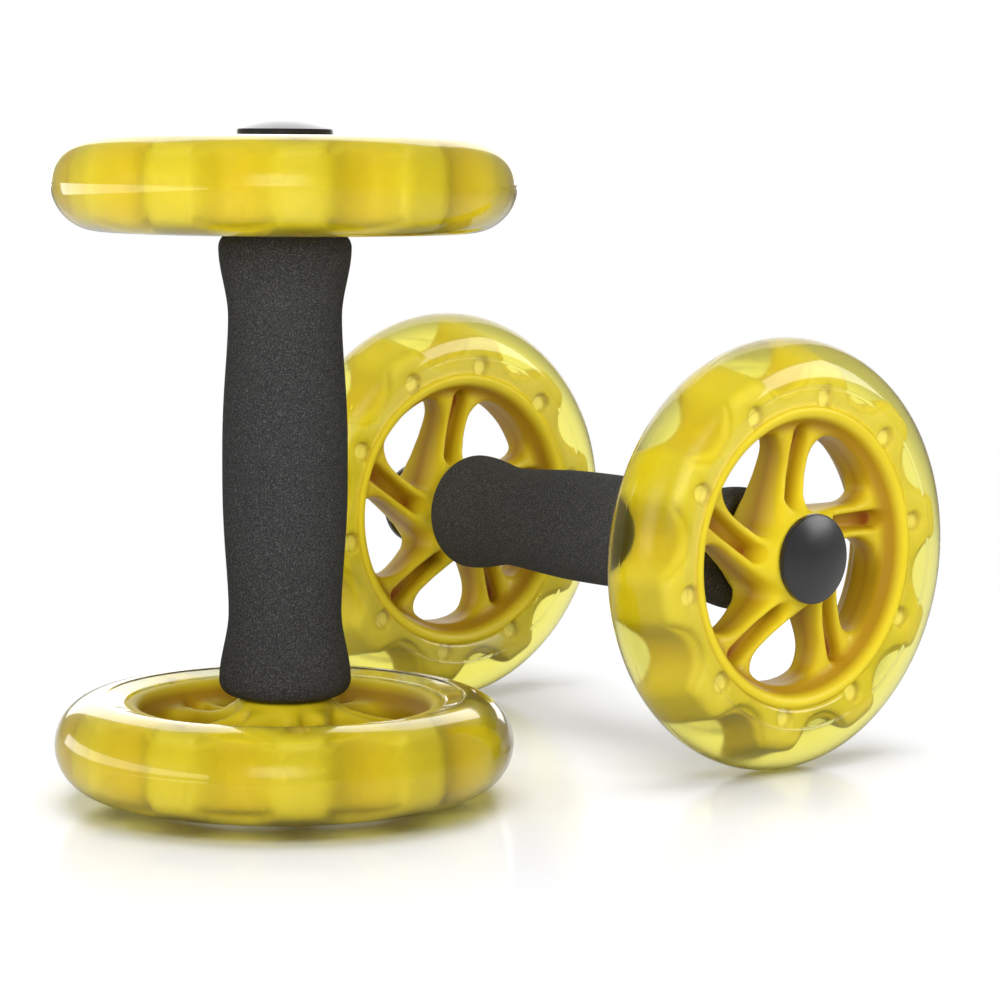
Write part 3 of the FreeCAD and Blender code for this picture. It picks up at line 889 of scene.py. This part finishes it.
# studio: pale floor, soft boxes and a white surround; sizes in metres
studio = {
    "floorSize": 6.0,
    "floorCentre": (0.09, 0.08, 0.0),
    "floorColour": (0.90, 0.91, 0.95),
    "floorBounce": (0.45, 0.45, 0.45),
    "floorFade": (0.30, 0.62),
    "floorRoughness": 0.16,
    "floorSpecular": 0.14,
    "worldLight": 0.11,
    "worldGloss": 0.22,
    "worldWhite": 1.0,
    "lamps": {
        "standingKey": {"at": (-0.10, -1.60, 0.55), "aim": (0.0, 0.0, 0.08), "size": (0.7, 0.7),
                        "watts": 14.5, "glossy": False, "lights": ("standing",)},
        "standingFill": {"at": (-1.30, -0.60, 0.30), "aim": (0.0, 0.0, 0.10), "size": (1.2, 0.8),
                         "watts": 5.0, "glossy": False, "lights": ("standing_lower", "standing_upper")},
        "underFill": {"at": (0.0, -0.50, 0.03), "aim": (0.0, 0.0, 0.19), "size": (0.6, 0.2),
                      "watts": 0.3, "glossy": False, "lights": ("standing_upper",)},
        "lyingKey": {"at": (0.90, -1.35, 0.70), "aim": (0.11, 0.12, 0.07), "size": (0.9, 0.9),
                     "watts": 13.5, "glossy": False, "lights": ("lying",)},
        "lyingFill": {"at": (-0.60, -1.30, 0.50), "aim": (0.11, 0.12, 0.07), "size": (0.9, 0.9),
                      "watts": 13.0, "glossy": False, "lights": ("lying",)},
        "overheadBox": {"at": (0.10, 0.0, 1.50), "aim": (0.08, 0.08, 0.0), "size": (1.4, 1.2),
                        "watts": 2.5, "glossy": False},
        "backFill": {"at": (-0.70, 1.50, 0.80), "aim": (0.08, 0.08, 0.08), "size": (1.2, 0.8),
                     "watts": 8.0, "glossy": False, "through": False, "lights": ("standing", "lying")},
        "tableBox": {"at": (0.06, 0.05, 1.30), "aim": (0.06, 0.05, 0.0), "size": (1.2, 1.2),
                     "watts": 17.0, "glossy": False, "lights": ("studio",)},
        "tableFront": {"at": (0.06, -1.00, 1.10), "aim": (0.06, -0.05, 0.0), "size": (1.2, 0.6),
                       "watts": 11.0, "glossy": False, "lights": ("studio",)},
        "backPanel": {"at": (0.10, 1.75, 1.10), "aim": (0.10, 0.0, 0.40), "size": (1.9, 2.1),
                      "watts": 11.0, "through": False},
        "bandPanel": {"at": (0.10, 1.76, 1.10), "aim": (0.10, 0.0, 0.40), "size": (1.9, 2.1),
                      "watts": 13.0, "diffuse": False, "through": False,
                      "lights": ("standing_lower_cast", "standing_upper_cast", "standing_upper_domed")},
        "leftStrip": {"at": (-1.35, 0.15, 0.50), "aim": (0.0, 0.05, 0.10), "size": (0.4, 0.9),
                      "watts": 2.0, "lights": ("lying",)},
        "leftCard": {"at": (-0.80, -0.10, 0.09), "aim": (0.0, -0.10, 0.09), "size": (2.0, 0.18),
                     "watts": 2.2, "diffuse": False, "lights": ("standing_lower", "standing_upper")},
        "rightStrip": {"at": (1.35, 0.0, 0.62), "aim": (0.15, 0.05, 0.10), "size": (0.7, 0.6),
                       "watts": 5.0, "lights": ("lying",)},
    },
}


# floor: dimmer where it lights the object or is mirrored in it, and seen straight or through the tyre it
# fades to the white surround with the distance from the middle of the pair
def makeFloor(s):
    half = s["floorSize"] / 2
    corners = np.array([[-half, -half, 0], [half, -half, 0], [half, half, 0], [-half, half, 0]])
    material, tree, shader = newMaterial("paleFloor")
    shader.inputs["Roughness"].default_value = s["floorRoughness"]
    shader.inputs["Specular IOR Level"].default_value = s["floorSpecular"]
    rays = tree.nodes.new("ShaderNodeLightPath").outputs
    bounce = addNode(tree, "ShaderNodeMix", data_type="RGBA")
    bounce.inputs["A"].default_value = (*s["floorColour"], 1)
    bounce.inputs["B"].default_value = (*s["floorBounce"], 1)
    dimmed = addMath(tree, "MAXIMUM", rays["Is Diffuse Ray"], rays["Is Glossy Ray"])
    link(tree, dimmed, bounce.inputs["Factor"])
    link(tree, bounce.outputs["Result"], shader.inputs["Base Color"])
    place = tree.nodes.new("ShaderNodeTexCoord")
    centre = addNode(tree, "ShaderNodeVectorMath", operation="SUBTRACT")
    centre.inputs[1].default_value = s["floorCentre"]
    away = addNode(tree, "ShaderNodeVectorMath", operation="LENGTH")
    link(tree, place.outputs["Object"], centre.inputs[0])
    link(tree, centre.outputs["Vector"], away.inputs[0])
    fade = addNode(tree, "ShaderNodeMapRange", interpolation_type="SMOOTHSTEP")
    fade.inputs["From Min"].default_value = s["floorFade"][0]
    fade.inputs["From Max"].default_value = s["floorFade"][1]
    link(tree, away.outputs["Value"], fade.inputs["Value"])
    straight = addMath(tree, "MAXIMUM", rays["Is Camera Ray"], rays["Is Transmission Ray"])
    seen = addMath(tree, "MULTIPLY", straight, fade.outputs["Result"])
    glow = addNode(tree, "ShaderNodeEmission", Strength=s["worldWhite"])
    mixShaders(tree, seen, shader.outputs["BSDF"], glow.outputs["Emission"])
    floor = meshObject("studioFloor", corners, np.array([[0, 1, 2, 3]]), material)


# surround: white to the camera and through the tyre, dimmer in reflections, and dim as a light
def makeWorld(s):
    world = bpy.data.worlds.new("whiteRoom")
    bpy.context.scene.world = world
    world.use_nodes = True
    tree = world.node_tree
    backdrop = tree.nodes["Background"]
    backdrop.inputs["Color"].default_value = (1, 1, 1, 1)
    lightPath = tree.nodes.new("ShaderNodeLightPath")
    level = None
    strengths = {"Is Glossy Ray": s["worldGloss"], "Is Transmission Ray": s["worldWhite"],
                 "Is Camera Ray": s["worldWhite"]}
    for ray, strength in strengths.items():
        pick = addNode(tree, "ShaderNodeMix", data_type="FLOAT")
        pick.inputs["A"].default_value = s["worldLight"]
        pick.inputs["B"].default_value = strength
        link(tree, lightPath.outputs[ray], pick.inputs["Factor"])
        if level:
            link(tree, level, pick.inputs["A"])
        level = pick.outputs["Result"]
    link(tree, level, backdrop.inputs["Strength"])


# a lamp with a list of what it lights leaves the rest out, as a flag beside a studio lamp does
def makeLamp(name, s):
    data = bpy.data.lights.new(name, "AREA")
    data.shape = "RECTANGLE"
    data.size, data.size_y = s["size"]
    data.energy = s["watts"]
    lamp = bpy.data.objects.new(name, data)
    lamp.visible_diffuse = s.get("diffuse", True)
    lamp.visible_glossy = s.get("glossy", True)
    lamp.visible_transmission = s.get("through", True)
    if "lights" in s:
        lit = bpy.data.collections.new(f"{name}Lit")
        for thing in bpy.context.scene.objects:
            if thing.type == "MESH" and thing.name.startswith(s["lights"]):
                lit.objects.link(thing)
        lamp.light_linking.receiver_collection = lit
    lamp.location = s["at"]
    away = Vector(s["aim"]) - Vector(s["at"])
    lamp.rotation_euler = away.to_track_quat("-Z", "Y").to_euler()
    bpy.context.scene.collection.objects.link(lamp)


makeFloor(studio)
makeWorld(studio)
for lampName, lampSettings in studio["lamps"].items():
    makeLamp(lampName, lampSettings)
bpy.context.scene.view_settings.view_transform = "Standard"
print("studio set")


# camera, fitted to the photograph's view of both rollers: metres, degrees, and millimetres of lens
cameraSettings = {
    "at": (0.0042, -1.0156, 0.2100),
    "yaw": 3.579,
    "pitch": 6.376,
    "roll": 0.4222,
    "lens": 116.73,
    "sensor": 36.0,
}


# yaw turns it to the right, pitch down from level, and roll about its own line of sight
def makeCamera(s):
    data = bpy.data.cameras.new("photoView")
    data.lens = s["lens"]
    data.sensor_width = s["sensor"]
    camera = bpy.data.objects.new("photoView", data)
    turn = Matrix.Rotation(-math.radians(s["yaw"]), 4, "Z")
    turn = turn @ Matrix.Rotation(math.radians(90 - s["pitch"]), 4, "X")
    turn = turn @ Matrix.Rotation(math.radians(s["roll"]), 4, "Z")
    camera.matrix_world = Matrix.Translation(s["at"]) @ turn
    bpy.context.scene.collection.objects.link(camera)
    bpy.context.scene.camera = camera


makeCamera(cameraSettings)
print("camera placed")
